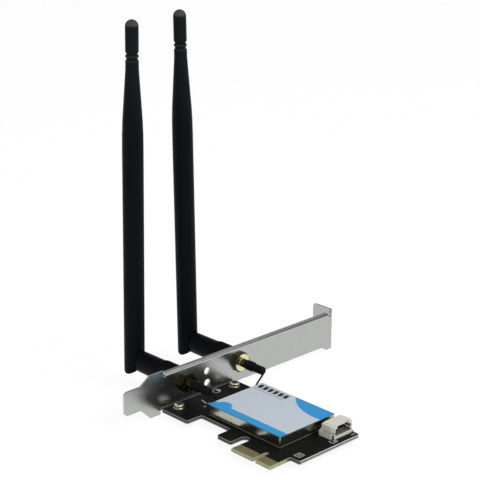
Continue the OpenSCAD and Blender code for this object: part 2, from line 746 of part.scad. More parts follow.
module cable_socket_pins() {
    tip = socket_y0 + 1.2;
    tail = socket_y1 + 0.4;
    color([0.8, 0.78, 0.7]) for (i = [0:pin_count - 1]) translate([first_pin_x + i * pin_pitch - pin_w / 2, 0, 0]) {
        block([0, tip, pin_z - pin_w / 2], [pin_w, tail + pin_w, pin_z + pin_w / 2]);
        block([0, tail, board_top], [pin_w, tail + pin_w, pin_z]);
        block([0, tail, board_top], [pin_w, tail + 1, board_top + 0.2]);
    }
}

module cable_socket_tabs() {
    color([0.75, 0.75, 0.72]) for (side = [0, 1]) translate([side * (socket_x0 + socket_x1), 0, 0]) mirror([side, 0, 0]) {
        block([socket_x0 - 0.6, socket_y0 + 0.1, board_top], [socket_x0 + ear_w, socket_y0 + 1, board_top + 0.2]);
        block([socket_x0 + ear_w - 0.3, socket_y0 + 0.1, board_top], [socket_x0 + ear_w, socket_y0 + 1, board_top + 2]);
    }
}

// The thread with its flat, also used as the shape of the bracket's holes.
module jack_thread_shape(x, y, length, gap) {
    r = thread_d / 2 + gap;
    difference() {
        along_y(x, y, jack_z) cylinder(r = r, h = length);
        block([x - r - 1, y - 1, jack_z - r - 2], [x + r + 1, y + length + 1, jack_z - thread_flat - gap]);
    }
}

module hexagon(x, y, t, af, turn) {
    along_y(x, y, jack_z) rotate([0, 0, turn]) cylinder(d = af / cos(30), h = t, $fn = 6);
}

module jack(x) {
    back = face_y - flange_hex_t;
    color([0.83, 0.7, 0.38]) difference() {
        union() {
            jack_thread_shape(x, face_y - 0.1, thread_l + 0.1, 0);
            hexagon(x, back, flange_hex_t, flange_af, 0);
            along_y(x, back - barrel_l, jack_z) cylinder(r = barrel_r, h = barrel_l + 0.1);
            along_y(x, face_y - stem_l, jack_z) cylinder(r = stem_r, h = stem_l);
        }
        along_y(x, face_y - 1, jack_z) cylinder(d = insulator_d + 2 * seat_gap, h = thread_l + 2);
        along_y(x, face_y - stem_l - 1, jack_z) cylinder(r = coax_bore_r, h = stem_l + 2);
    }
}

module jack_insulator(x) {
    color([0.93, 0.93, 0.9]) difference() {
        along_y(x, face_y - 1, jack_z) cylinder(d = insulator_d, h = 9);
        along_y(x, face_y - 2, jack_z) cylinder(d = centre_pin_d + 2 * seat_gap, h = 12);
    }
}

module jack_pin(x) {
    color([0.83, 0.7, 0.38]) {
        along_y(x, face_y - 3.4, jack_z) cylinder(d = centre_pin_d, h = thread_l + 2.6);
        along_y(x, face_y + thread_l - 0.8, jack_z) cylinder(d1 = centre_pin_d, d2 = 0.3, h = 0.4);
    }
}

module jack_near() { jack(jacks[0]); }
module jack_far() { jack(jacks[1]); }
module jack_insulator_near() { jack_insulator(jacks[0]); }
module jack_insulator_far() { jack_insulator(jacks[1]); }
module jack_pin_near() { jack_pin(jacks[0]); }
module jack_pin_far() { jack_pin(jacks[1]); }

// A washer split at one place, with its two ends set apart by a narrow gap.
module lock_washers() {
    color([0.72, 0.68, 0.5]) for (x = jacks) difference() {
        along_y(x, washer_y, jack_z) cylinder(d = washer_d, h = washer_t);
        along_y(x, washer_y - 1, jack_z) cylinder(d = thread_d + 0.3, h = washer_t + 2);
        block([x - 0.3, washer_y - 1, jack_z], [x + 0.3, washer_y + washer_t + 1, jack_z + washer_d]);
    }
}

module jack_nuts() {
    color([0.83, 0.7, 0.38]) for (x = jacks) difference() {
        hexagon(x, nut_y, nut_t, hex_af, 30);
        along_y(x, nut_y - 1, jack_z) cylinder(d = thread_d + 2 * seat_gap, h = nut_t + 2);
    }
}

module shrink_sleeve(x) {
    wide = sleeve_d / 2;
    neck = sleeve_neck_d / 2;
    step = flange_hex_t + barrel_l;
    start = step - sleeve_grip;
    e = 0.3;
    outline = concat(
        [[barrel_r + seat_gap, start], [wide - 0.15, start], [wide - 0.15, step + 0.4], [wide, step + 0.9]],
        [[wide, sleeve_wide_l - e]],
        arc(wide - e, sleeve_wide_l - e, e, 0, 90, 3), [[neck, sleeve_wide_l]],
        [[neck, sleeve_l - e]], arc(neck - e, sleeve_l - e, e, 0, 90, 3),
        [[coax_bore_r, sleeve_l], [coax_bore_r, stem_l + 0.1], [stem_r + seat_gap, stem_l + 0.1]],
        [[stem_r + seat_gap, step + seat_gap], [barrel_r + seat_gap, step + seat_gap]]);
    color([0.04, 0.04, 0.04]) translate([x, face_y, jack_z]) rotate([90, 0, 0]) rotate_extrude() polygon(outline);
}

module shrink_sleeve_near() { shrink_sleeve(jacks[0]); }
module shrink_sleeve_far() { shrink_sleeve(jacks[1]); }

// A cable's route, from the jack's crimp through the shield's wall to the plug on the module.
function coax_path(i, route) =
    let(jack = [jacks[i], face_y, jack_z], plug = [rf_x[i], rf_y, rf_plug_z + rf_plug_h / 2], way = plug_way(i))
    concat([for (p = route) jack + p],
           [[gate_x[i], shield_y1, gate_cable_z], plug + (rf_plug_end + 2) * way + [0, 0, -0.1], plug + rf_plug_end * way]);

module coax_near() {
    color([0.05, 0.05, 0.05]) tube_along(spline(coax_path(0, coax_near_route), 3), coax_d / 2);
}

module coax_far() {
    color([0.05, 0.05, 0.05]) tube_along(spline(coax_path(1, coax_far_route), 3), coax_d / 2);
}

function rib_outline() =
    [for (i = [0:2 * rib_count - 1])
        let(a = 180 * i / rib_count, r = coupling_d / 2 - (i % 2) * rib_depth) r * [cos(a), sin(a)]];

module coupling_nut(x) {
    length = coupling_y1 - coupling_y0;
    collar = coupling_d / 2 - rib_depth - 0.05;
    thread_h = thread_l - (coupling_y0 - face_y) + ferrule_stop;
    color([0.05, 0.05, 0.055]) along_y(x, coupling_y0, jack_z) difference() {
        union() {
            cylinder(r = collar, h = length);
            translate([0, 0, 0.8]) linear_extrude(length - 1.8) polygon(rib_outline());
        }
        translate([0, 0, -1]) cylinder(d = thread_d + 0.2, h = thread_h + 1);
        translate([0, 0, -1]) cylinder(r = ferrule_r + run_gap, h = length + 2);
    }
}

module coupling_nut_near() { coupling_nut(jacks[0]); }
module coupling_nut_far() { coupling_nut(jacks[1]); }

module swivel_base(x) {
    r = base_d / 2;
    length = base_y1 - base_y0;
    tongue_root = pivot_y - base_y1 + 1;
    e = 0.4;
    outline = concat(
        [[ferrule_r + seat_gap, 0], [r - e, 0]], arc(r - e, e, e, -90, 0, 4),
        arc(r - e, length - e, e, 0, 90, 4), [[0, length], [0, ferrule_in + 0.3], [ferrule_r + seat_gap, ferrule_in + 0.3]]);
    color([0.055, 0.055, 0.06]) difference() {
        union() {
            along_y(x, base_y0, jack_z) rotate_extrude() polygon(outline);
            intersection() {
                translate([x - hinge_tongue_t / 2, pivot_y, jack_z]) rotate([0, 90, 0]) linear_extrude(hinge_tongue_t)
                    polygon(concat(arc(0, 0, hinge_tongue_r, 180, 0, 24),
                                   [[hinge_tongue_r, -tongue_root], [-hinge_tongue_r, -tongue_root]]));
                along_y(x, base_y1 - 2, jack_z) cylinder(r = r, h = 20);
            }
        }
        translate([x - 5, pivot_y, jack_z]) rotate([0, 90, 0]) cylinder(d = hinge_pin_d + 2 * seat_gap, h = 10);
    }
}

module swivel_base_near() { swivel_base(jacks[0]); }
module swivel_base_far() { swivel_base(jacks[1]); }

// The metal tube that the coupling nut turns on, flanged at its inner end and fixed in the swivel base.
module swivel_ferrule(x) {
    y0 = face_y + thread_l + run_gap;
    color([0.8, 0.72, 0.5]) difference() {
        union() {
            along_y(x, y0, jack_z) cylinder(r = ferrule_flange_r, h = ferrule_stop - 2 * run_gap);
            along_y(x, y0, jack_z) cylinder(r = ferrule_r, h = base_y0 + ferrule_in - y0);
        }
        along_y(x, y0 - 1, jack_z) cylinder(d = insulator_d + 2 * seat_gap, h = 20);
    }
}

module swivel_ferrule_near() { swivel_ferrule(jacks[0]); }
module swivel_ferrule_far() { swivel_ferrule(jacks[1]); }

module plug_insulator(x) {
    y0 = face_y + thread_l + 0.5;
    color([0.93, 0.93, 0.9]) difference() {
        along_y(x, y0, jack_z) cylinder(d = insulator_d, h = base_y0 + ferrule_in - y0);
        along_y(x, y0 - 1, jack_z) cylinder(r = 0.75 + seat_gap, h = 20);
    }
}

module plug_insulator_near() { plug_insulator(jacks[0]); }
module plug_insulator_far() { plug_insulator(jacks[1]); }

// The split socket that takes the jack's pin, held in the plug's insulator.
module plug_contact(x) {
    y0 = face_y + 8.3;
    color([0.83, 0.7, 0.38]) difference() {
        along_y(x, y0, jack_z) cylinder(r = 0.75, h = base_y0 + ferrule_in - y0);
        along_y(x, y0 - 1, jack_z) cylinder(r = centre_pin_d / 2 + run_gap, h = thread_l - 8.3 + 1.6);
    }
}

module plug_contact_near() { plug_contact(jacks[0]); }
module plug_contact_far() { plug_contact(jacks[1]); }

module hinge_pin(x) {
    length = blade_d - 0.6;
    color([0.35, 0.35, 0.36]) translate([x - length / 2, pivot_y, jack_z]) rotate([0, 90, 0])
        cylinder(d = hinge_pin_d, h = length);
}

module hinge_pin_near() { hinge_pin(jacks[0]); }
module hinge_pin_far() { hinge_pin(jacks[1]); }

// Half of an antenna's outline, as radius and height above the hinge.
function blade_outline() =
    let(r = blade_d / 2, t = tip_d / 2, g = groove_d / 2, top = blade_l,
        g1 = top - groove_from_tip, g2 = g1 - groove_w - ring_w, c = top - taper_from_tip, e = 0.15)
    concat(
        [[0, -cheek_drop - 1], [r, -cheek_drop - 1], [r, c - taper_l]],
        [[r - 0.05, c - taper_l + 6], [r - 0.27, c - taper_l + 12], [t + 0.05, c - 2], [t, c]],
        [[t, g2 - groove_w - e], [g, g2 - groove_w + e], [g, g2 - e], [t, g2 + e], [t, g1 - groove_w - e],
         [g, g1 - groove_w + e], [g, g1 - e], [t, g1 + e]],
        arc(0, top - t, t, 0, 90, 9));

module antenna(x, lean) {
    r = blade_d / 2;
    cheek_r = r + 0.1;
    color([0.05, 0.05, 0.055]) translate([x, pivot_y, jack_z]) rotate([-lean, 0, 0]) difference() {
        intersection() {
            rotate_extrude() polygon(blade_outline());
            translate([-r - 1, 0, 0]) rotate([90, 0, 90]) linear_extrude(2 * r + 2)
                polygon(concat(arc(0, cheek_r - cheek_drop, cheek_r, 180, 360, 24),
                               [[cheek_r, blade_l + 1], [-cheek_r, blade_l + 1]]));
        }
        block([-slot_w / 2, -r - 1, -cheek_drop - 2], [slot_w / 2, r + 1, slot_top]);
        translate([-r - 1, 0, 0]) rotate([0, 90, 0]) cylinder(d = hinge_pin_d + 2 * run_gap, h = 2 * r + 2);
        translate([0, 0, slot_top - 1]) cylinder(r = radiator_r + seat_gap, h = radiator_top - slot_top + 1.5);
    }
}

module antenna_near() { antenna(jacks[0], lean_near); }
module antenna_far() { antenna(jacks[1], lean_far); }

// The aerial itself: a wire above a wider metal sleeve, inside the plastic body.
module radiator(x, lean) {
    wire_z = slot_top + radiator_sleeve_l;
    color([0.7, 0.6, 0.35]) translate([x, pivot_y, jack_z]) rotate([-lean, 0, 0]) {
        translate([0, 0, slot_top + 0.5]) cylinder(r = radiator_r, h = radiator_sleeve_l);
        translate([0, 0, wire_z]) cylinder(r = 0.5, h = radiator_top - wire_z);
        translate([0, 0, radiator_top - 2]) cylinder(r = radiator_r, h = 2);
    }
}

module radiator_near() { radiator(jacks[0], lean_near); }
module radiator_far() { radiator(jacks[1], lean_far); }

pcb();
contacts_top();
contacts_bottom();
screw_pads();
bracket();
board_screws();
shield_frame();
shield_cover();
shield_label();
radio_module_board();
radio_module_can();
module_socket();
module_standoff();
module_screw();
rf_sockets();
rf_plug_near();
rf_plug_far();
cable_socket();
cable_socket_pins();
cable_socket_tabs();
jack_near();
jack_far();
jack_insulator_near();
jack_insulator_far();
jack_pin_near();
jack_pin_far();
lock_washers();
jack_nuts();
shrink_sleeve_near();
shrink_sleeve_far();
coax_near();
coax_far();
coupling_nut_near();
coupling_nut_far();
swivel_base_near();
swivel_base_far();
swivel_ferrule_near();
swivel_ferrule_far();
plug_insulator_near();
plug_insulator_far();
plug_contact_near();
plug_contact_far();
hinge_pin_near();
hinge_pin_far();
antenna_near();
antenna_far();
radiator_near();
radiator_far();
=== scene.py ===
"""Looks for a wireless expansion card: finishes for its parts, broken arrises, and a pale stage."""

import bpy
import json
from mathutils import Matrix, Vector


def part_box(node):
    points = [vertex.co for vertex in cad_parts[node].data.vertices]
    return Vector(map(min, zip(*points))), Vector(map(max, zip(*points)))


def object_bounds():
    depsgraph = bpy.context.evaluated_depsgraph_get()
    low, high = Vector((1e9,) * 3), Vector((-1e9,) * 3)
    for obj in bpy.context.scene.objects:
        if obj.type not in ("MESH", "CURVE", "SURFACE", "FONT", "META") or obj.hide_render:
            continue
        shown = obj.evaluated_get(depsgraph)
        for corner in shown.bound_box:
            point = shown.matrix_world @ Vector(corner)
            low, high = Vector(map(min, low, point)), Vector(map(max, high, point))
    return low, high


bl_info = {
    "name": "Wireless expansion card",
    "version": (1, 0, 0),
    "blender": (4, 5, 0),
    "location": "3D View > Sidebar > Network card",
    "description": "Finishes, broken arrises and a stage for a card with hinged antennas",
    "category": "Object",
}

import json
import math

import bmesh
import bpy
from bpy.props import FloatProperty, FloatVectorProperty, PointerProperty
from mathutils import Matrix, Vector

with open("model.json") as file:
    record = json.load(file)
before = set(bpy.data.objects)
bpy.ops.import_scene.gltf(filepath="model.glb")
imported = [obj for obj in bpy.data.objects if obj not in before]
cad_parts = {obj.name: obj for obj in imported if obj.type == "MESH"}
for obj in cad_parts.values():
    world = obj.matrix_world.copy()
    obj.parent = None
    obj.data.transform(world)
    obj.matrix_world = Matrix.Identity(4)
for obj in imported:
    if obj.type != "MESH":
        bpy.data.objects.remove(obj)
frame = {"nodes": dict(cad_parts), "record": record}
CAD_BOX = [list(corner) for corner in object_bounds()]
MM = 0.001


def corners(node):
    """Lowest and highest corner in mm of a CAD part's box."""
    return [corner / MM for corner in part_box(node)]


def middle(node):
    """Middle in mm of a CAD part's box."""
    low, high = corners(node)
    return (low + high) / 2


def mount(name):
    """Place in mm of a mount that the card's record names."""
    row = next(row for row in frame["record"]["mounts"] if row["name"] == name)
    return [value / MM for value in row["pos_m"]]


def times(colour, factor):
    """A colour with its three parts multiplied by one number."""
    return tuple(part * factor for part in colour)


def tinted(colour, tint):
    """A colour with each part multiplied by the tint's."""
    return tuple(part * share for part, share in zip(colour, tint))


# Places and sizes in mm that the finishes refer to. A point within a hair of a face counts as on the face.
HAIR = 0.1

# The bracket's: its sheet, the bend at its flange, the lip, and the lip's two painted shade lines, each as
# distance from the bracket's inner face and half width.
SHEET_T = 0.86
BRACKET_Y = mount("bracket_face")[1] - SHEET_T
FLANGE_X = CAD_BOX[1][0] / MM
BEND_W = 2
SHEARED_IN = 0.06
LIP_TOP = corners("bracket")[1].z - 1.4
LIP_DROP = 1.1
LIP_X = 5
INNER_SHADE_LINE = (0.3, 0.2)
OUTER_SHADE_LINE = (1.15, 0.12)

# The jacks': their places, a height between them and the board, and the hexagon and barrel behind the
# bracket.
JACKS_MIDDLE = (middle("jack_near").x + middle("jack_far").x) / 2
JACK_PITCH = middle("jack_far").x - middle("jack_near").x
JACK_Z = middle("jack_near").z
# JACKS_FLOOR: below this height the jacks' painted shade stops.
JACKS_FLOOR = JACK_Z - 5
HEXAGON_Y = BRACKET_Y - 2
HEXAGON_R = 3.5
HEXAGON_ARRIS_R = 3.72
BARREL_R = 2.4

# The board's: its upper face, cut edge and free end, the bare strip by the bracket, the tongue that carries
# the contacts, and the small holes. ARRIS_Z, TONGUE_X and VIA_R are the two ends of a soft edge, and VIA_R
# is a share of the holes' pitch.
BOARD_TOP = corners("pcb")[1].z
BOARD_END = corners("pcb")[0].y
FACE_Z = BOARD_TOP - 0.085
CUT_Z = BOARD_TOP - 0.015
RIM_Y = BRACKET_Y - 0.75
# ARRIS_Z: where the painted highlight along the board's cut arrises begins and where it is full.
ARRIS_Z = (0.39, 0.49)
TONGUE_X = (9.0, 9.8)
TONGUE_Y = 12.1
CONTACTS_X = 4.65
VIA_PITCH = 2.54
VIA_R = (0.07, 0.10)

# The shield's: its near walls, how far in they are looked for, and the line of solder with a gap at their
# foot.
SHIELD_SIDE, SHIELD_END = corners("shield_frame")[0].xy
WALL_REACH = 0.3
FOOT_H = 0.3
FOOT_GAP_X = 32.0
FOOT_GAP_HALF = 1.3

# The cable socket's: its mouth, how far past the mouth's edges the painted shade inside reaches, and where it
# begins.
MOUTH = mount("cable_socket_mouth")
MOUTH_SIZE = (8.8, 2.9)
MOUTH_EDGE = 0.03
MOUTH_DEPTH = 0.15

# The antennas': the tip's height, the soft ends of the cap's painted highlight and of its grey as distances
# below the tip, and the middle and half width of the painted highlight on the ring between the two grooves
# and on the shoulder under them.
TIP_Z = corners("antenna_near")[1].z
CAP_END = (2.0, 2.9)
GREY_END = (15.0, 48.0)
RINGS = ((14.5, 0.36), (16.35, 0.25))

# The label's: half the soft edge of its band, the band's blob and the corner's disc, each as middle and soft
# edge, and the title with a slant in degrees.
BAND_SOFT = 0.07
BLOB = (17.3, 34.6)
BLOB_STRETCH = (1.0, 0.86)
BLOB_R = (3.03, 3.17)
DISC = (58.27, 3.0)
DISC_R = (22.8, 22.94)
TITLE_LINE = ((37.8, 30.2), (0.22, 17.0))
TITLE_BLOCKS = 6
TITLE_X = 40.8
TITLE_Y = 37.6
TITLE_PITCH = 2.85
TITLE_BLOCK = (3.3, 1.9)
TITLE_SLANT = 12

# Plain white marks printed on the board: bars with a middle, a size and a turn in degrees, outlines of
# rectangles with a middle and a size, dots with a middle and a radius, and a ring filled on one side.
BARS = (
    ((14.3, -9.4), (0.35, 1.7), 0), ((15.2, -9.4), (0.35, 1.7), 0), ((20.4, 49.7), (0.5, 4.2), -14),
    ((20.9, 47.3), (1.4, 0.45), 0), ((42.6, -11.3), (2.2, 0.45), 0),
)
OUTLINES = (((14.7, -9.4), (3.3, 3.0)), ((32.4, -10.4), (3.0, 2.3)))
DOTS = (((32.9, -10.4), 0.5), ((26.4, 54.4), 0.75), ((17.6, 46.2), 0.5))
RING_MARK = (31.3, 54.1)
RING_MARK_R = 1.6
FILLED_FROM = 0.5
LINE_W = 0.36

# Widths in mm to which the sharp arrises of a part are broken, the angle in degrees that counts as sharp, and
# the distance in mm within which loose corners are joined first.
ARRISES = {
    "bracket": 0.1, "cable_socket": 0.12, "jack_near": 0.12, "jack_far": 0.12, "shield_cover": 0.1,
    "board_screws": 0.1, "screw_pads": 0.05,
}
SHARP = 50
JOIN_W = 0.001

# The photograph's camera, in the card's own frame, with its angles in degrees.
CAMERA_PLACE = Vector((-327.93, -333.88, 242.285)) * MM
CAMERA_YAW = 43.815
CAMERA_PITCH = 18.397
CAMERA_ROLL = 0.291
CAMERA_LENS = 104.96

# The two soft lights: where they stand, where they aim, and how wide they are, in metres.
KEY_PLACE = (0.30, -0.85, 0.95)
KEY_W = 0.9
FILL_PLACE = (-0.80, -0.25, 0.7)
FILL_W = 0.8
AIM = (0.03, 0.05, 0.05)

# How far the seen floor glows in place of its paper, how brightly, and the two heights of a direction between
# which the mirrored ceiling dims.
GLOW_SHARE = 0.86
GLOW = 1.05
CEILING_RISE = (0.06, 0.3)


# Shader maths

class Wire:
    """A shader socket that plain Python operators join to others."""

    def __init__(self, finish, socket):
        self.finish = finish
        self.socket = socket

    def maths(self, operation, *others, clamp=False):
        """A maths node on this socket and others."""
        settings = {"operation": operation, "use_clamp": clamp}
        return self.finish.node("ShaderNodeMath", settings, dict(enumerate((self, *others))))

    def __add__(self, other):
        return self.maths("ADD", other)

    def __radd__(self, other):
        return self.maths("ADD", other)

    def __sub__(self, other):
        return self.maths("SUBTRACT", other)

    def __rsub__(self, other):
        return self.finish.node("ShaderNodeMath", {"operation": "SUBTRACT"}, {0: other, 1: self})

    def __mul__(self, other):
        return self.maths("MULTIPLY", other)

    def __truediv__(self, other):
        return self.maths("DIVIDE", other)

    def __gt__(self, other):
        return self.maths("GREATER_THAN", other)

    def __lt__(self, other):
        return self.maths("LESS_THAN", other)

    def size(self):
        return self.maths("ABSOLUTE")

    def most(self, other):
        return self.maths("MAXIMUM", other)

    def ramp(self, low, high):
        """0 below low, 1 above high, and even between."""
        return ((self - low) / (high - low)).maths("ADD", 0.0, clamp=True)


def length(across, along):
    """Length of a line, from its two parts."""
    return (across * across + along * along).maths("SQRT")


class Finish:
    """One material or world, and the nodes that make it."""

    def __init__(self, name, kind="materials"):
        self.block = getattr(bpy.data, kind).new(name)
        self.block.use_nodes = True
        self.tree = self.block.node_tree
        self.tree.nodes.clear()
        self.place = None
        self.parts = None

    def node(self, kind, settings=None, values=None, output=0):
        """A new node with its settings and the values of its inputs, as the wire of one output."""
        made = self.tree.nodes.new(kind)
        for key, value in (settings or {}).items():
            setattr(made, key, value)
        for key, value in (values or {}).items():
            if isinstance(value, Wire):
                self.tree.links.new(value.socket, made.inputs[key])
            else:
                made.inputs[key].default_value = value
        return Wire(self, made.outputs[output])

    def outputs(self, kind, values=None):
        """A new node's outputs as wires, by name."""
        made = self.node(kind, values=values).socket.node
        return {output.name: Wire(self, output) for output in made.outputs}

    def vector(self):
        """The piece's own coordinates, in millimetres, as a vector."""
        if self.place is None:
            metres = self.node("ShaderNodeTexCoord", output="Object")
            values = {0: metres, "Scale": 1 / MM}
            self.place = self.node("ShaderNodeVectorMath", {"operation": "SCALE"}, values)
        return self.place

    def coordinates(self):
        """The piece's own coordinates, in millimetres, as three numbers."""
        if self.parts is None:
            self.parts = list(self.outputs("ShaderNodeSeparateXYZ", {0: self.vector()}).values())
        return self.parts

    def shifted(self, scale=(1, 1, 1), turn=0.0):
        """The coordinates in millimetres, turned about Z by so many radians and scaled, for a texture."""
        values = {0: self.vector(), "Rotation": (0, 0, turn), "Scale": scale}
        return self.node("ShaderNodeMapping", values=values)

    def noise(self, scale, detail=2.0, vector=None):
        """Soft noise from 0 to 1, mostly near a half."""
        values = {"Vector": vector or self.vector(), "Scale": scale, "Detail": detail}
        return self.node("ShaderNodeTexNoise", values=values)

    def box(self, place, size, turn=0.0):
        """1 inside a rectangle seen from above, in millimetres and degrees, and 0 outside."""
        x, y, _ = self.coordinates()
        across = x - place[0]
        along = y - place[1]
        if turn:
            cosine = math.cos(math.radians(turn))
            sine = math.sin(math.radians(turn))
            across, along = across * cosine + along * sine, along * cosine - across * sine
        return (across.size() < size[0] / 2) * (along.size() < size[1] / 2)

    def distance(self, place, stretch=(1.0, 1.0)):
        """Distance from a point seen from above, in millimetres."""
        x, y, _ = self.coordinates()
        return length((x - place[0]) * stretch[0], (y - place[1]) * stretch[1])

    def sight(self):
        """1 where the camera sees a surface, straight or through glass, and 1 where a mirror does."""
        rays = self.outputs("ShaderNodeLightPath")
        return rays["Is Camera Ray"].most(rays["Is Transmission Ray"]), rays["Is Glossy Ray"]

    def blend(self, factor, first, second):
        """A colour between two others."""
        def colour(value):
            return value if isinstance(value, Wire) else (*value[:3], 1.0)
        values = {0: factor, 6: colour(first), 7: colour(second)}
        return self.node("ShaderNodeMix", {"data_type": "RGBA"}, values, output=2)

    def bump(self, height, distance):
        """A bump whose height is given in millimetres per unit."""
        return self.node("ShaderNodeBump", values={"Distance": distance * MM, "Height": height})

    def surface(self, **values):
        """The finished material: a Principled shader, its sockets named in words joined by underscores."""
        named = {}
        for key, value in values.items():
            socket = {"ior_level": "Specular IOR Level"}.get(key, key.replace("_", " ").title())
            named[socket] = (*value[:3], 1.0) if isinstance(value, (tuple, list)) else value
        return self.end("ShaderNodeOutputMaterial", self.node("ShaderNodeBsdfPrincipled", values=named))

    def end(self, kind, shader):
        """The finished material or world, with its output node joined to a shader."""
        self.tree.links.new(shader.socket, self.tree.nodes.new(kind).inputs["Surface"])
        return self.block


# Sizes and colours

def colour_choice(name, description, default):
    """A colour that a user can change."""
    return FloatVectorProperty(name=name, description=description, subtype="COLOR", size=3, min=0, max=1,
                               default=default)


def share_choice(name, description, default):
    """A share from 0 to 1 that a user can change."""
    return FloatProperty(name=name, description=description, subtype="FACTOR", min=0, max=1,
                         default=default)


class CardFinishes(bpy.types.PropertyGroup):
    """Colours and roughness of the card's parts."""

    mask_colour: colour_choice("Solder mask", "Colour of the board's coating", (0.0045, 0.0050, 0.0045))
    gold_colour: colour_choice("Gold plate", "Colour of the jacks and screw rings", (0.80, 0.765, 0.46))
    finger_colour: colour_choice("Contacts", "Colour of the card's contacts", (0.417, 0.375, 0.203))
    nickel_colour: colour_choice("Nickel plate", "Colour of the slot bracket", (0.484, 0.497, 0.484))
    plastic_colour: colour_choice("Antenna plastic", "Colour of the antennas and their bases",
                                  (0.0030, 0.0041, 0.0050))
    label_colour: colour_choice("Label", "Ground colour of the label", (0.57, 0.627, 0.70))
    band_colour: colour_choice("Label fields", "Colour of the label's plain fields", (0.026, 0.330, 0.72))
    disc_colour: colour_choice("Label disc", "Colour of the part of a disc in the label's corner",
                               (0.022, 0.325, 0.72))
    band_edge: FloatProperty(name="Band edge", description="Place in mm of the band's edge across the board",
                             min=0, default=17.55)
    socket_colour: colour_choice("Cable socket", "Colour of the cable socket's housing", (0.70, 0.70, 0.62))
    nickel_roughness: share_choice("Bracket roughness", "Roughness of the bracket's plating", 0.24)
    plastic_roughness: share_choice("Plastic roughness", "Roughness of the antennas' plastic", 0.42)


class CardStage(bpy.types.PropertyGroup):
    """The floor, the light and the background."""

    floor_size: FloatProperty(name="Floor size", description="Width of the floor", subtype="DISTANCE",
                              unit="LENGTH", min=1, default=8.0)
    floor_gap: FloatProperty(name="Floor gap", description="Distance of the floor below the card",
                             subtype="DISTANCE", unit="LENGTH", min=0, default=0.0002)
    key_power: FloatProperty(name="Key light", description="Power of the main soft light", subtype="POWER",
                             unit="POWER", min=0, default=9.0)
    fill_power: FloatProperty(name="Fill light", description="Power of the soft light on the other side",
                              subtype="POWER", unit="POWER", min=0, default=1.5)
    world_level: FloatProperty(name="Room light", description="Strength of the even light all round",
                               min=0, default=0.55)
    ceiling_level: FloatProperty(name="Ceiling", description="Strength of the ceiling that metal mirrors",
                                 min=0, default=0.3)


# Finishes

def printed_marks(finish):
    """1 where the board has a white mark and 0 elsewhere."""
    x, _, z = finish.coordinates()
    away = finish.distance(RING_MARK)
    filled = (away < RING_MARK_R) * (x > RING_MARK[0] + FILLED_FROM)
    ink = ((away - RING_MARK_R).size() < LINE_W / 2).most(filled)
    for bar in BARS:
        ink = ink.most(finish.box(*bar))
    for place, size in OUTLINES:
        inner = [side - 2 * LINE_W for side in size]
        ink = ink.most(finish.box(place, size) * (1 - finish.box(place, inner)))
    for place, radius in DOTS:
        ink = ink.most(finish.distance(place) < radius)
    return ink * (z > FACE_Z)


def cut_laminate(finish, grain):
    """The board's cut edge: dark with painted highlights along its arrises, painted light on the free end,
    yellow round the tongue, light by the bracket.
    """
    x, y, z = finish.coordinates()
    # Painted highlight: the cut edge is lighter near its top and bottom arrises.
    arris_highlight = z.size().ramp(*ARRIS_Z)
    core = finish.blend(arris_highlight, finish.blend(grain, (0.06, 0.06, 0.057), (0.10, 0.10, 0.095)),
                        finish.blend(grain, (0.24, 0.24, 0.235), (0.34, 0.34, 0.33)))
    # Painted light: the free end, which faces the key light, is paler than the rest of the cut edge.
    lit_free_end = finish.blend(arris_highlight, finish.blend(grain, (0.16, 0.16, 0.155), (0.24, 0.24, 0.23)),
                         finish.blend(grain, (0.58, 0.58, 0.565), (0.72, 0.72, 0.70)))
    core = finish.blend(y < BOARD_END + HAIR, core, lit_free_end)
    tongue = (1 - x.ramp(*TONGUE_X)) * (y < TONGUE_Y)
    core = finish.blend(tongue, core, finish.blend(grain, (0.34, 0.33, 0.20), (0.46, 0.44, 0.28)))
    return finish.blend(y > RIM_Y, core, (0.55, 0.55, 0.52))


def solder_mask(look):
    """Black coating with faint copper runs, small holes and plain white marks, and bare cut edges."""
    finish = Finish("solder_mask")
    x, y, z = finish.coordinates()
    cut_edge = z.size() < CUT_Z
    bare = (x < CONTACTS_X) * (y < TONGUE_Y) * (1 - cut_edge)
    rim = (y > RIM_Y) * (z > 0)
    runs = finish.node("ShaderNodeTexBrick", {"offset": 0.37, "squash": 1.0}, {
        "Vector": finish.shifted(turn=math.radians(45)), "Scale": 0.42, "Mortar Size": 0.055,
        "Mortar Smooth": 0.3,
    }, output="Fac")
    cell_x = (x / VIA_PITCH).maths("FRACT") - 0.5
    cell_y = (y / VIA_PITCH).maths("FRACT") - 0.5
    via = 1 - length(cell_x, cell_y).ramp(*VIA_R)
    grain = finish.noise(9.0, 3.0)
    ink = printed_marks(finish)
    coat = finish.blend(runs * 0.6, look.mask_colour, times(look.mask_colour, 1.7))
    coat = finish.blend(via * 0.5, coat, (0.02, 0.02, 0.018))
    coat = finish.blend(bare, coat, finish.blend(grain, (0.13, 0.11, 0.05), (0.19, 0.16, 0.08)))
    coat = finish.blend(ink * (grain.ramp(0.2, 0.5) * 0.4 + 0.6), coat, (0.45, 0.45, 0.43))
    coat = finish.blend(rim, coat, finish.blend(grain, (0.10, 0.10, 0.09), (0.2, 0.2, 0.19)))
    colour = finish.blend(cut_edge, coat, cut_laminate(finish, grain))
    relief = runs * 0.6 - via * 0.8 + grain * 0.2 + ink * 0.5
    return finish.surface(base_color=colour, ior_level=0.05, normal=finish.bump(relief, 0.03),
                          roughness=0.3 + cut_edge.most(ink) * 0.35 + grain * 0.1)


def gold_fingers(look):
    """Thin matte gold over nickel, as on a board's contacts."""
    finish = Finish("gold_fingers")
    patches = finish.noise(0.9, 3.0)
    wipes = finish.noise(1.0, 3.0, finish.shifted(scale=(0.5, 7.0, 1.0)))
    colour = finish.blend(patches, times(look.finger_colour, 0.88), times(look.finger_colour, 1.12))
    return finish.surface(base_color=colour, metallic=0.85, roughness=0.34 + wipes * 0.14,
                          normal=finish.bump(wipes, 0.01))


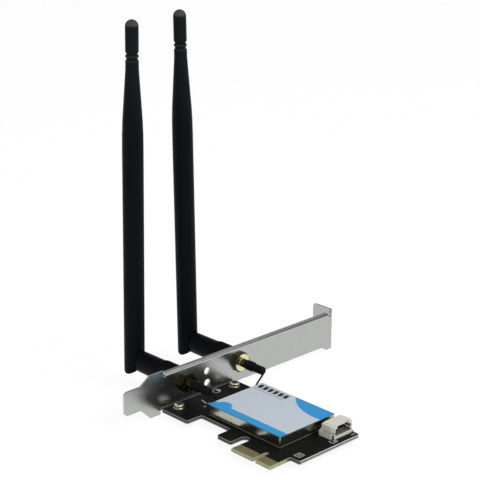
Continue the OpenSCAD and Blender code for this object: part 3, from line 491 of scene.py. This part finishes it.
def gold_plate(look):
    """Polished pale gold plating with fine turning marks, and painted brown shade over the near jack and over
    the jacks' flats and barrels behind the bracket.
    """
    finish = Finish("gold_plate")
    x, y, z = finish.coordinates()
    patches = finish.noise(0.5, 3.0)
    turning = finish.noise(1.0, 3.0, finish.shifted(scale=(0.4, 9.0, 0.4)))
    away = length((x - JACKS_MIDDLE).size() - JACK_PITCH / 2, z - JACK_Z)
    behind = (y < BRACKET_Y) * (z > JACKS_FLOOR)
    flats = ((away > HEXAGON_R) * (y > HEXAGON_Y + HAIR)).most(away > HEXAGON_ARRIS_R)
    barrel = (away < BARREL_R) * (y < HEXAGON_Y - HAIR)
    # Painted shade: the near jack is darkened almost to brown, with gaps where gold glints are left, and so
    # are both jacks' flats and barrels behind the bracket.
    near_jack_shade = (x < JACKS_MIDDLE) * (0.97 - turning.ramp(0.62, 0.65) * 0.6)
    brown_shade = (behind * flats.most(barrel) * 0.94).most(behind * near_jack_shade)
    colour = finish.blend(patches, times(look.gold_colour, 0.86), look.gold_colour)
    colour = finish.blend(brown_shade, colour, tinted(look.gold_colour, (0.040, 0.036, 0.026)))
    return finish.surface(base_color=colour, metallic=1.0, normal=finish.bump(turning, 0.006),
                          roughness=0.1 + patches * 0.08 + turning * 0.04 + brown_shade * 0.15)


def nickel_plate(look):
    """Bright nickel with lengthwise streaks and clouds, sheared edges rougher and painted lighter as a
    highlight, the lip painted lighter as light on its top, and two painted shade lines along the lip.
    """
    finish = Finish("nickel_plate")
    x, y, z = finish.coordinates()
    streaks = finish.noise(1.0, 3.0, finish.shifted(scale=(0.12, 5.0, 9.0)))
    clouds = finish.noise(0.16, 2.0)
    depth = y - BRACKET_Y
    unbent = x < FLANGE_X - BEND_W
    lip = (z > LIP_TOP - LIP_DROP) * (x > LIP_X) * unbent
    sheared = ((depth - SHEET_T / 2).size() < SHEET_T / 2 - SHEARED_IN) * (1 - lip) * unbent
    # Two painted shade lines along the lip, where its bend would be in shade.
    inner_shade_line = (depth - INNER_SHADE_LINE[0]).size() < INNER_SHADE_LINE[1]
    outer_shade_line = ((depth - OUTER_SHADE_LINE[0]).size() < OUTER_SHADE_LINE[1]) * 0.5
    lip_shade_lines = lip * inner_shade_line.most(outer_shade_line)
    colour = finish.blend(clouds, times(look.nickel_colour, 0.86), look.nickel_colour)
    # Painted light: the lip and the sheared edges are lighter than the plating.
    colour = finish.blend(lip, colour, times(look.nickel_colour, 1.2))
    colour = finish.blend(sheared, colour, times(look.nickel_colour, 1.35))
    colour = finish.blend(lip_shade_lines * 0.8, colour, times(look.nickel_colour, 0.2))
    roughness = look.nickel_roughness - 0.06 + streaks * 0.06 + clouds * 0.08 + lip.most(sheared) * 0.24
    return finish.surface(base_color=colour, metallic=1.0, roughness=roughness,
                          normal=finish.bump(streaks, 0.012))


def bright_steel(look):
    """Plated steel of screws, washers and pins."""
    finish = Finish("bright_steel")
    grain = finish.noise(6.0, 3.0)
    colour = finish.blend(grain, (0.50, 0.50, 0.48), (0.66, 0.66, 0.63))
    return finish.surface(base_color=colour, metallic=1.0, roughness=0.22 + grain * 0.16,
                          normal=finish.bump(grain, 0.01))


def tin_plate(look):
    """Drawn tinned sheet with soft upright die marks, and at its foot a dull line of solder with a gap."""
    finish = Finish("tin_plate")
    x, y, z = finish.coordinates()
    marks = finish.noise(1.0, 2.0, finish.shifted(scale=(3.0, 3.0, 0.25)))
    clouds = finish.noise(0.35, 2.0)
    walls = (y < SHIELD_END + WALL_REACH).most(x < SHIELD_SIDE + WALL_REACH)
    solder = (z < BOARD_TOP + FOOT_H + clouds * 0.2) * walls
    gap = (x - FOOT_GAP_X).size() < FOOT_GAP_HALF
    sheet = finish.blend(clouds, (0.33, 0.335, 0.27), (0.50, 0.50, 0.42))
    foot = finish.blend(gap, (0.20, 0.19, 0.14), (0.05, 0.05, 0.04))
    return finish.surface(base_color=finish.blend(solder, sheet, foot), metallic=1 - solder,
                          roughness=0.14 + marks * 0.12 + solder * 0.3,
                          normal=finish.bump(marks + clouds, 0.03))


def satin_plastic(look):
    """Moulded black plastic with a fine grain, greyer towards an antenna's tip, with painted highlights on
    the cap and rings.
    """
    finish = Finish("satin_plastic")
    grain = finish.noise(7.0, 3.0)
    clouds = finish.noise(0.12, 2.0)
    below = TIP_Z - finish.coordinates()[2]
    colour = finish.blend(clouds, look.plastic_colour, times(look.plastic_colour, 1.5))
    colour = finish.blend(1 - below.ramp(*GREY_END), colour, times(look.plastic_colour, 2.6))
    # Painted highlight: a lighter band on the ring and on the shoulder.
    for away, half in RINGS:
        colour = finish.blend(((below - away).size() < half) * 0.9, colour, (0.026, 0.027, 0.028))
    # Painted highlight: the cap near the tip is pale grey.
    cap = (1 - below.ramp(*CAP_END)) * (grain * 0.5 + 0.65)
    colour = finish.blend(cap, colour, (0.066, 0.067, 0.066))
    return finish.surface(base_color=colour, ior_level=0.035, normal=finish.bump(grain, 0.02),
                          roughness=look.plastic_roughness + grain * 0.1 - 0.05)


def cable_rubber(look):
    """Black shrink sleeve and cable jacket, slightly wrinkled."""
    finish = Finish("cable_rubber")
    wrinkles = finish.noise(1.6, 3.0)
    colour = finish.blend(wrinkles, (0.004, 0.004, 0.004), (0.008, 0.008, 0.008))
    return finish.surface(base_color=colour, ior_level=0.08, roughness=0.38 + wrinkles * 0.2,
                          normal=finish.bump(wrinkles, 0.06))


def moulded_nylon(look):
    """Cream nylon of the cable socket, with painted olive shade inside its mouth."""
    finish = Finish("moulded_nylon")
    x, y, z = finish.coordinates()
    grain = finish.noise(5.0, 3.0)
    clouds = finish.noise(0.5, 2.0)
    between_sides = (x - MOUTH[0]).size() < MOUTH_SIZE[0] / 2 + MOUTH_EDGE
    between_floors = (z - MOUTH[2]).size() < MOUTH_SIZE[1] / 2 + MOUTH_EDGE
    inside = (y > MOUTH[1] + MOUTH_DEPTH) * between_sides * between_floors
    colour = finish.blend(clouds, times(look.socket_colour, 0.9), look.socket_colour)
    # Painted shade: the inside of the mouth is darkened and olive.
    colour = finish.blend(inside * 0.9, colour, tinted(look.socket_colour, (0.11, 0.12, 0.08)))
    return finish.surface(base_color=colour, roughness=0.42 + grain * 0.12, normal=finish.bump(grain, 0.015))


def white_insulator(look):
    """White insulator of the jacks and plugs."""
    finish = Finish("white_insulator")
    grain = finish.noise(5.0, 2.0)
    colour = finish.blend(grain, (0.72, 0.72, 0.69), (0.80, 0.80, 0.77))
    return finish.surface(base_color=colour, roughness=0.4 + grain * 0.1, normal=finish.bump(grain, 0.01))


def module_mask(look):
    """Green coating of the hidden radio module."""
    finish = Finish("module_mask")
    grain = finish.noise(4.0, 3.0)
    colour = finish.blend(grain, (0.01, 0.07, 0.03), (0.02, 0.11, 0.05))
    return finish.surface(base_color=colour, roughness=0.3 + grain * 0.1, normal=finish.bump(grain, 0.02))


def label_print(look):
    """Pale label: a plain band and a disc's part in blue, dark blocks over a line, faint grey strokes."""
    finish = Finish("label_print")
    x = finish.coordinates()[0]
    band = 1 - x.ramp(look.band_edge - BAND_SOFT, look.band_edge + BAND_SOFT)
    blob = 1 - finish.distance(BLOB, BLOB_STRETCH).ramp(*BLOB_R)
    disc = 1 - finish.distance(DISC).ramp(*DISC_R)
    field = band.most(blob)
    title = finish.box(*TITLE_LINE)
    for block in range(TITLE_BLOCKS):
        place = (TITLE_X, TITLE_Y - block * TITLE_PITCH)
        title = title.most(finish.box(place, TITLE_BLOCK, TITLE_SLANT))
    strokes = finish.node("ShaderNodeTexVoronoi", {"feature": "F1", "voronoi_dimensions": "2D"}, {
        "Vector": finish.shifted(scale=(1.0, 0.22, 0.0), turn=0.5), "Scale": 0.42, "Randomness": 0.9,
    }, output="Distance")
    patches = finish.noise(0.35, 1.0).ramp(0.53, 0.56)
    faint = (1 - strokes.ramp(0.09, 0.13)) * patches * (1 - field.most(disc))
    fibres = finish.noise(3.0, 4.0)
    field_blue = finish.blend(fibres, times(look.band_colour, 0.9), look.band_colour)
    disc_blue = finish.blend(fibres, times(look.disc_colour, 0.85), look.disc_colour)
    colour = finish.blend(fibres, times(look.label_colour, 0.95), look.label_colour)
    colour = finish.blend(faint * 0.35, colour, times(look.label_colour, 0.62))
    colour = finish.blend(field, colour, field_blue)
    colour = finish.blend(disc, colour, disc_blue)
    colour = finish.blend(title, colour, (0.02, 0.02, 0.025))
    return finish.surface(base_color=colour, roughness=0.34 + fibres * 0.08, ior_level=0.3,
                          normal=finish.bump(fibres, 0.006))


def dark_pin(look):
    """Blackened steel of the hinge pins."""
    finish = Finish("dark_pin")
    grain = finish.noise(8.0, 2.0)
    colour = finish.blend(grain, (0.004, 0.004, 0.004), (0.012, 0.012, 0.012))
    return finish.surface(base_color=colour, metallic=0.3, ior_level=0.2, roughness=0.4 + grain * 0.15,
                          normal=finish.bump(grain, 0.01))


# The finish of each material slot that the card's record names. Each is given the user's choices.
FINISHES = {
    "board": solder_mask, "gold": gold_plate, "brass": gold_plate, "bracket_metal": nickel_plate,
    "steel": bright_steel, "tin": tin_plate, "label": label_print, "module_board": module_mask,
    "black_plastic": satin_plastic, "cream_plastic": moulded_nylon, "white_plastic": white_insulator,
    "rubber": cable_rubber,
}
# Parts whose finish differs from the rest of their material.
OWN_FINISHES = {
    "contacts_top": gold_fingers, "contacts_bottom": gold_fingers, "hinge_pin_near": dark_pin,
    "hinge_pin_far": dark_pin,
}


# Operators

class CARD_OT_finishes(bpy.types.Operator):
    """Gives every part of the card its finish"""

    bl_idname = "card.finishes"
    bl_label = "Finish the parts"

    def execute(self, context):
        look = context.scene.card_finishes
        made = {}
        slots = {row["node"]: row["material_slot"] for row in frame["record"]["subparts"]}
        for node, part in frame["nodes"].items():
            make = OWN_FINISHES.get(node) or FINISHES[slots[node]]
            if make not in made:
                made[make] = make(look)
            part.data.materials.clear()
            part.data.materials.append(made[make])
            if node in ARRISES:
                self.break_arrises(part, ARRISES[node] * MM)
        return {"FINISHED"}

    @staticmethod
    def break_arrises(part, width):
        """Joins the part's loose triangles, then gives its sharp arrises a small round."""
        part.modifiers.new("joined", "WELD").merge_threshold = JOIN_W * MM
        bevel = part.modifiers.new("arrises", "BEVEL")
        bevel.width = width
        bevel.segments = 2
        bevel.limit_method = "ANGLE"
        bevel.angle_limit = math.radians(SHARP)
        bevel.harden_normals = True


class CARD_OT_camera(bpy.types.Operator):
    """Places the camera where the photograph was taken from"""

    bl_idname = "card.camera"
    bl_label = "Place the camera"

    def execute(self, context):
        yaw, pitch, roll = (math.radians(angle) for angle in (CAMERA_YAW, CAMERA_PITCH, CAMERA_ROLL))
        ahead = Vector((math.sin(yaw) * math.cos(pitch), math.cos(yaw) * math.cos(pitch), -math.sin(pitch)))
        level = Vector((math.cos(yaw), -math.sin(yaw), 0))
        upright = level.cross(ahead)
        right = level * math.cos(roll) + upright * math.sin(roll)
        up = upright * math.cos(roll) - level * math.sin(roll)
        lens = bpy.data.cameras.new("photo_camera")
        lens.lens = CAMERA_LENS
        lens.sensor_width = 36
        lens.clip_end = 50
        camera = bpy.data.objects.new("photo_camera", lens)
        camera.matrix_world = Matrix((
            (right.x, up.x, -ahead.x, CAMERA_PLACE.x), (right.y, up.y, -ahead.y, CAMERA_PLACE.y),
            (right.z, up.z, -ahead.z, CAMERA_PLACE.z), (0, 0, 0, 1)))
        context.scene.collection.objects.link(camera)
        context.scene.camera = camera
        return {"FINISHED"}


class CARD_OT_stage(bpy.types.Operator):
    """Lays the pale floor and sets the soft studio light"""

    bl_idname = "card.stage"
    bl_label = "Set the stage"

    def execute(self, context):
        stage = context.scene.card_stage
        mesh = bpy.data.meshes.new("floor")
        shape = bmesh.new()
        bmesh.ops.create_grid(shape, x_segments=1, y_segments=1, size=stage.floor_size / 2,
                              matrix=Matrix.Translation((0, 0, CAD_BOX[0][2] - stage.floor_gap)))
        shape.to_mesh(mesh)
        shape.free()
        floor = bpy.data.objects.new("floor", mesh)
        context.scene.collection.objects.link(floor)
        mesh.materials.append(self.floor_finish())
        context.scene.world = self.room(stage)
        self.add_light(context, "key_light", KEY_PLACE, KEY_W, stage.key_power)
        self.add_light(context, "fill_light", FILL_PLACE, FILL_W, stage.fill_power)
        context.scene.view_settings.view_transform = "Standard"
        return {"FINISHED"}

    @staticmethod
    def floor_finish():
        """White paper that keeps the card's shadow, and looks as bright as the sky behind it."""
        finish = Finish("floor_paper")
        grain = finish.noise(0.02, 2.0)
        seen, mirrored = finish.sight()
        paper = finish.node("ShaderNodeBsdfPrincipled", values={
            "Base Color": finish.blend(grain, (0.84, 0.84, 0.84), (0.86, 0.86, 0.86)), "Roughness": 0.9,
            "Specular IOR Level": 0.1})
        glow = finish.node("ShaderNodeEmission", values={"Color": (1, 1, 1, 1), "Strength": GLOW})
        shares = {0: seen.most(mirrored) * GLOW_SHARE, 1: paper, 2: glow}
        return finish.end("ShaderNodeOutputMaterial", finish.node("ShaderNodeMixShader", values=shares))

    @staticmethod
    def room(stage):
        """White where the camera looks past the card; mirrored, white at the horizon under a dim ceiling."""
        finish = Finish("soft_room", "worlds")
        direction = finish.node("ShaderNodeTexCoord", output="Generated")
        height = finish.outputs("ShaderNodeSeparateXYZ", {0: direction})["Z"]
        ceiling = 1 - height.ramp(*CEILING_RISE) * (1 - stage.ceiling_level)
        seen, mirrored = finish.sight()
        even = (1 - seen.most(mirrored)) * stage.world_level
        values = {"Color": (1, 1, 1, 1), "Strength": seen.most(mirrored * ceiling).most(even)}
        return finish.end("ShaderNodeOutputWorld", finish.node("ShaderNodeBackground", values=values))

    @staticmethod
    def add_light(context, name, place, size, power):
        """A square soft light that looks at the card."""
        lamp = bpy.data.lights.new(name, "AREA")
        lamp.shape = "SQUARE"
        lamp.size = size
        lamp.energy = power
        light = bpy.data.objects.new(name, lamp)
        light.location = place
        light.rotation_euler = (Vector(AIM) - Vector(place)).to_track_quat("-Z", "Y").to_euler()
        context.scene.collection.objects.link(light)


class CARD_PT_panel(bpy.types.Panel):
    """Sidebar panel that lists the card's operators"""

    bl_idname = "CARD_PT_panel"
    bl_label = "Network card"
    bl_space_type = "VIEW_3D"
    bl_region_type = "UI"
    bl_category = "Network card"

    def draw(self, context):
        for group in (context.scene.card_finishes, context.scene.card_stage):
            box = self.layout.box()
            for name in group.__annotations__:
                box.prop(group, name)
        for operator in STEPS:
            self.layout.operator(operator.bl_idname)


STEPS = (CARD_OT_camera, CARD_OT_finishes, CARD_OT_stage)
GROUPS = {"card_finishes": CardFinishes, "card_stage": CardStage}


def register():
    for cls in (*GROUPS.values(), *STEPS, CARD_PT_panel):
        bpy.utils.register_class(cls)
    for name, cls in GROUPS.items():
        setattr(bpy.types.Scene, name, PointerProperty(type=cls))


def unregister():
    for name in GROUPS:
        delattr(bpy.types.Scene, name)
    for cls in (CARD_PT_panel, *STEPS, *GROUPS.values()):
        bpy.utils.unregister_class(cls)


def main():
    register()
    for step in STEPS:
        group, name = step.bl_idname.split(".")
        getattr(getattr(bpy.ops, group), name)()


if __name__ == "__main__":
    main()
